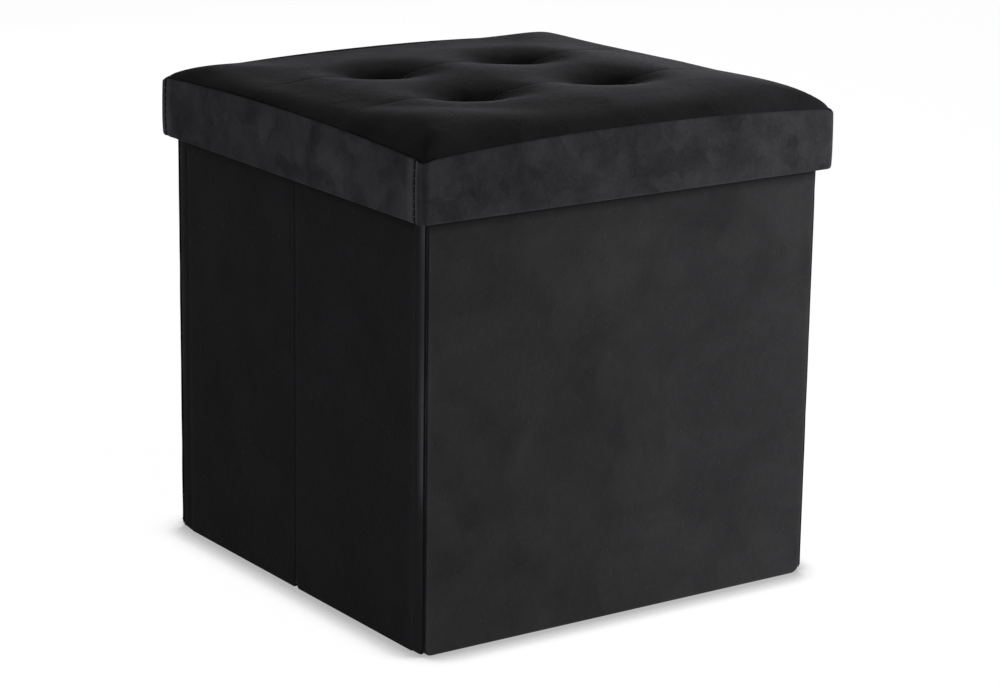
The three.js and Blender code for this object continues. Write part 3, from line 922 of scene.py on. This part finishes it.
def drawn_cloth():
    """How far tension and stuffing move the top from its cut shape, from a cloth simulation.

    The cloth is held at its edge seam and under the four buttons, and the padding pushes it up."""
    count = 96
    lines = np.linspace(-TOP_HALF, TOP_HALF, count)
    grid_x, grid_y = np.meshgrid(lines, lines)
    start = np.stack([grid_x, grid_y, cushion_height(grid_x, grid_y)], -1).reshape(-1, 3)
    cloth = mesh_piece("top_simulation", start, grid_faces(count, count), velvet)
    held = cloth.vertex_groups.new(name="held")
    border = np.maximum(np.abs(start[:, 0]), np.abs(start[:, 1])) > TOP_HALF - 3 * MM
    buttons = np.zeros(len(start), bool)
    for centre in TUFTS.values():
        buttons |= np.hypot(start[:, 0] - centre.x, start[:, 1] - centre.y) < BUTTON_RADIUS
    held.add(np.nonzero(border | buttons)[0].tolist(), 1.0, "REPLACE")
    simulation = cloth.modifiers.new("stuffed cloth", "CLOTH")
    for name, value in {
        "vertex_group_mass": "held", "quality": 6, "mass": 0.3, "tension_stiffness": 20,
        "compression_stiffness": 20, "shear_stiffness": 8, "bending_stiffness": 2.0, "shrink_min": 0.0,
        "use_pressure": True, "uniform_pressure_force": -TOP_PRESSURE,
    }.items():
        setattr(simulation.settings, name, value)
    simulation.settings.effector_weights.gravity = 0
    simulation.collision_settings.use_collision = False
    simulation.point_cache.frame_end = TOP_FRAMES
    scene = bpy.context.scene
    for step in range(1, TOP_FRAMES + 1):
        scene.frame_set(step)
    shaped = cloth.evaluated_get(bpy.context.evaluated_depsgraph_get())
    end = np.array([v.co for v in shaped.to_mesh().vertices])
    shaped.to_mesh_clear()
    scene.frame_set(1)
    bpy.data.objects.remove(cloth)
    moved = end - start
    reach = np.linalg.norm(moved, axis=1, keepdims=True)
    moved *= np.minimum(1, TOP_MOVE / np.maximum(reach, 1e-9))
    moved = moved.reshape(count, count, 3)
    # The wadding sewn behind the velvet lets it take no fold shorter than about 30 mm.
    for _ in range(TOP_WADDING):
        around = np.pad(moved, ((1, 1), (1, 1), (0, 0)))
        moved = (around[:-2, 1:-1] + around[2:, 1:-1] + around[1:-1, :-2] + around[1:-1, 2:]
                 + 2 * moved) / 6
    return lines, moved


def between(lines, field, x, y):
    """Values of a gridded field at any points, read between its grid lines."""
    step = lines[1] - lines[0]
    column = np.clip((x - lines[0]) / step, 0, len(lines) - 1.001)
    row = np.clip((y - lines[0]) / step, 0, len(lines) - 1.001)
    i, j = column.astype(int), row.astype(int)
    u, v = (column - i)[..., None], (row - j)[..., None]
    return ((1 - u) * (1 - v) * field[j, i] + u * (1 - v) * field[j, i + 1]
            + (1 - u) * v * field[j + 1, i] + u * v * field[j + 1, i + 1])


def cushion_surface(x, y):
    """The finished top's points over the plan points x, y."""
    cut = np.stack([*rounded_plan(x, y), cushion_height(x, y)], -1)
    return cut + between(*TOP_DRAWN, x, y)


def top_cover():
    """The velvet over the cushion, with two sewn rows across it between the buttons."""
    xs = steps(-TOP_HALF, TOP_HALF, 8 * MM, 0.8 * MM, 3.2 * MM)
    seams = sorted({centre.y for centre in TUFTS.values()})
    seam_lines = (-4, -2.8, -1.8, -1.1, -0.6, -0.25, 0, 0.25, 0.6, 1.1, 1.8, 2.8, 4)
    ys = list(xs)
    for seam in seams:
        ys = [y for y in ys if abs(y - seam) > 4.5 * MM]
        ys += [seam + d * MM for d in seam_lines]
    ys = np.array(sorted(ys))
    grid_x, grid_y = np.meshgrid(xs, ys)
    surface = cushion_surface(grid_x, grid_y)
    for seam in seams:
        away = np.abs(grid_y - seam)
        inside = np.clip((TOP_HALF - np.abs(grid_x)) / (70 * MM), 0, 1)
        surface[..., 2] -= inside * (0.45 * MM * np.exp(-(away / (0.8 * MM)) ** 2)
                                     + 0.5 * MM * np.exp(-(away / (6 * MM)) ** 2))
    cover = mesh_piece("lid_top_cover", surface.reshape(-1, 3), grid_faces(len(ys), len(xs)), top_velvet)
    from_edge = TOP_HALF - np.maximum(np.abs(grid_x), np.abs(grid_y))
    # Painted shade along the top's edge, where the cushion slopes down to its seam.
    mark_painted_tones(cover, -0.5 * np.exp(-(from_edge / (16 * MM)) ** 2))
    thicken(cover, VELVET)
    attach(cover, "lid")
    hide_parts("lid_top_velvet")

    for row, seam in zip(("front", "back"), seams):
        line = np.linspace(-TOP_HALF + 14 * MM, TOP_HALF - 14 * MM, 160)
        for centre in TUFTS.values():
            line = line[~((abs(centre.y - seam) < MM) & (np.abs(line - centre.x) < BUTTON_RADIUS))]
        path = cushion_surface(line, np.full_like(line, seam - 1.5 * MM)) - (0, 0, 0.5 * MM)
        stitch_row(f"top_seam_{row}_stitches", path, (0, 0, 1), TOP_STITCH, "lid", lift=0.1 * MM)


def foam_pad():
    """The slab of foam under the cover, pressed to the cover's shape from below."""
    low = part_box("lid_foam")[0]
    half = -low.x
    lines = steps(-half, half, 10 * MM, 2.5 * MM, 6 * MM)
    grid_x, grid_y = np.meshgrid(lines, lines)
    top = cushion_surface(grid_x, grid_y) - (0, 0, VELVET + 1.2 * MM)
    top[..., :2] = np.stack([grid_x, grid_y], -1)
    count = len(lines)
    points = [*top.reshape(-1, 3)]
    faces = grid_faces(count, count)
    rim = [j * count + i for i, j in rim_of(count, count)]
    start = len(points)
    points += [(points[i][0], points[i][1], low.z) for i in rim]
    faces += border_faces(rim, start)
    faces.append(tuple(start + k for k in reversed(range(len(rim)))))
    pad = mesh_piece("lid_foam_pad", points, faces, foam)
    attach(pad, "lid")
    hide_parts("lid_foam")


def lid_lining_stitches():
    """The thread that sews the lining to the lid's underside, a finger's width in from its edge."""
    low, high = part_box("lid_lining")
    reach = high.x - 14 * MM
    corners = [(-reach, -reach), (reach, -reach), (reach, reach), (-reach, reach), (-reach, -reach)]
    for number in range(4):
        (x0, y0), (x1, y1) = corners[number], corners[number + 1]
        row = [(x0 + (x1 - x0) * t, y0 + (y1 - y0) * t, low.z) for t in np.linspace(0, 1, 30)]
        stitch_row(f"lid_lining_stitches_{number + 1}", row, (0, 0, -1), LID_LINING_STITCH, "lid")


lid_lining_stitches()


TOP_DRAWN = drawn_cloth()
top_cover()
foam_pad()


def covered_button(name, centre):
    """A velvet-covered button: a low dome gathered to its rim."""
    base = float(cushion_surface(np.array([centre.x]), np.array([centre.y]))[0, 2]) - 0.6 * MM
    rings = [(0.0, 5.6), (0.22, 5.5), (0.42, 5.2), (0.6, 4.7), (0.76, 3.9), (0.88, 3.0), (0.96, 2.0),
             (1.0, 1.1), (0.97, 0.4), (0.85, 0.0), (0.4, 0.0)]
    sides = 40
    points = []
    for reach, up in rings:
        for k in range(sides):
            angle = 2 * math.pi * k / sides
            gather = 1 + 0.018 * math.sin(10 * angle) * reach ** 3
            points.append((centre.x + BUTTON_RADIUS * reach * gather * math.cos(angle),
                           centre.y + BUTTON_RADIUS * reach * gather * math.sin(angle), base + up * MM))
    faces = []
    for ring in range(len(rings) - 1):
        for k in range(sides):
            a, b = ring * sides + k, ring * sides + (k + 1) % sides
            faces.append((a, a + sides, b + sides, b))
    faces.append(tuple((len(rings) - 1) * sides + k for k in reversed(range(sides))))
    button = mesh_piece(f"{name}_covered_button", points, faces, top_velvet)
    weld_points(button)
    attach(button, "lid")
    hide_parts(f"{name}_button")
    return base


def weld_points(piece):
    """Joins points that lie together, such as the middle of a disc."""
    weld = piece.modifiers.new("weld", "WELD")
    weld.merge_threshold = 0.02 * MM
    bake_modifiers(piece)


def tufting_cord(name, centre, top):
    """Two strands of waxed twine twisted together, from the button down to its washer."""
    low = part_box(f"{name}_cord")[0].z
    turns = (top - low) / (4 * MM)
    count, sides = 60, 8
    strand_radius = 0.5 * MM
    points, faces = [], []
    for strand in range(2):
        start = len(points)
        for k in range(count):
            t = k / (count - 1)
            angle = 2 * math.pi * turns * t + math.pi * strand
            hub = (centre.x + 0.45 * MM * math.cos(angle), centre.y + 0.45 * MM * math.sin(angle),
                   low + (top - low) * t)
            for s in range(sides):
                around = 2 * math.pi * s / sides
                points.append((hub[0] + strand_radius * math.cos(around),
                               hub[1] + strand_radius * math.sin(around), hub[2]))
        faces += tube_faces(start, count, sides)
    cord = mesh_piece(f"{name}_tufting_twine", points, faces, tufting_twine)
    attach(cord, "lid")
    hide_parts(f"{name}_cord")


for tuft_name, tuft_centre in TUFTS.items():
    button_base = covered_button(tuft_name, tuft_centre)
    tufting_cord(tuft_name, tuft_centre, button_base)


# -------- pieces kept from the frame
def dress_kept_nodes():
    """Gives each piece that keeps its own shape its real material."""
    finishes = {
        ("_wall_board", "_skirt_board", "base_board"): fibreboard,
        ("lid_board",): plywood,
        ("_washer",): nylon,
        ("lid_lining", "base_board_hinge"): lining_lying,
    }
    for name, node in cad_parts.items():
        for endings, finish in finishes.items():
            if name.endswith(endings):
                for slot in node.material_slots:
                    slot.material = finish


dress_kept_nodes()


# -------- studio
ROOM_LIGHT = 0.1
FLOOR_LIFT = 0.97


def seen_directly(tree):
    """1 for what the camera sees, itself or in a gloss, and 0 for the light on the object."""
    rays = add(tree, "LightPath").outputs
    return maths(tree, "MAXIMUM", rays["Is Camera Ray"], rays["Is Glossy Ray"])


def studio_floor():
    """Matt white paper sweep. Cameras see it lifted to white, less close round the bottom of the object,
    where a contact shadow is painted in.
    """
    material, tree = new_material("white_paper_sweep")
    seen = seen_directly(tree)
    tone = add(tree, "Mix", {"data_type": "RGBA", "A": colour("#e2e2e2"), "B": colour("#606060")},
               {"Factor": seen}).outputs["Result"]
    paper = add(tree, "BsdfDiffuse", links={"Color": tone})
    # Painted shadow: ambient occlusion lowers the lift close to the object, a contact shadow painted round
    # its bottom.
    painted_contact_shadow = add(tree, "AmbientOcclusion", {"samples": 8, "Distance": 34 * MM}).outputs["AO"]
    lifted = ranged(tree, painted_contact_shadow, from_min=0.62, from_max=0.91, to_min=0.42, to_max=FLOOR_LIFT)
    lift = add(tree, "Emission", links={"Strength": maths(tree, "MULTIPLY", seen, lifted)})
    both = add(tree, "AddShader", links={0: paper.outputs[0], 1: lift.outputs[0]})
    finish_material(tree, both)
    size = 6.0
    corners = [(-size, -size, 0), (size, -size, 0), (size, size, 0), (-size, size, 0)]
    floor = mesh_piece("studio_floor", corners, [(0, 1, 2, 3)], material)


def studio_world():
    world = bpy.data.worlds.new("studio_world")
    bpy.context.scene.world = world
    world.use_nodes = True
    tree = world.node_tree
    tree.nodes.clear()
    strength = ranged(tree, seen_directly(tree), to_min=ROOM_LIGHT, to_max=1.0)
    sky = add(tree, "Background", {"Color": (1, 1, 1, 1)}, {"Strength": strength})
    add(tree, "OutputWorld", links={"Surface": sky.outputs[0]})


def softbox(name, place, aim, width, height, power):
    light = bpy.data.lights.new(name, "AREA")
    light.shape = "RECTANGLE"
    light.size = width
    light.size_y = height
    light.energy = power
    holder = new_object(name, light)
    holder.location = place
    holder.rotation_euler = (Vector(aim) - Vector(place)).to_track_quat("-Z", "Y").to_euler()


def studio_camera():
    azimuth, elevation, roll = (math.radians(a) for a in (-34.82, 15.21, 0.84))
    distance = 2.572
    aim = Vector((5.2, -8.4, 175.7)) * MM
    back = Vector((math.sin(azimuth) * math.cos(elevation), -math.cos(azimuth) * math.cos(elevation),
                   math.sin(elevation)))
    lens = bpy.data.cameras.new("studio_camera")
    lens.lens = 115.6
    lens.sensor_width = 36.0
    camera = new_object("studio_camera", lens)
    camera.location = aim + back * distance
    level = back.to_track_quat("Z", "Y").to_matrix()
    camera.rotation_euler = (level @ Matrix.Rotation(roll, 3, "Z")).to_euler()
    bpy.context.scene.camera = camera


studio_floor()
studio_world()
softbox("key_right_front", (1.05, -0.85, 0.52), (0, -0.1, 0.25), 0.6, 0.45, 20)
softbox("fill_left", (-1.2, -0.2, 0.4), (-0.18, -0.12, 0.25), 0.5, 0.5, 4.4)
softbox("back_rim", (0.2, 2.4, 0.8), (0, 0, 0.35), 1.6, 0.7, 8.5)
studio_camera()
bpy.context.scene.view_settings.view_transform = "Standard"
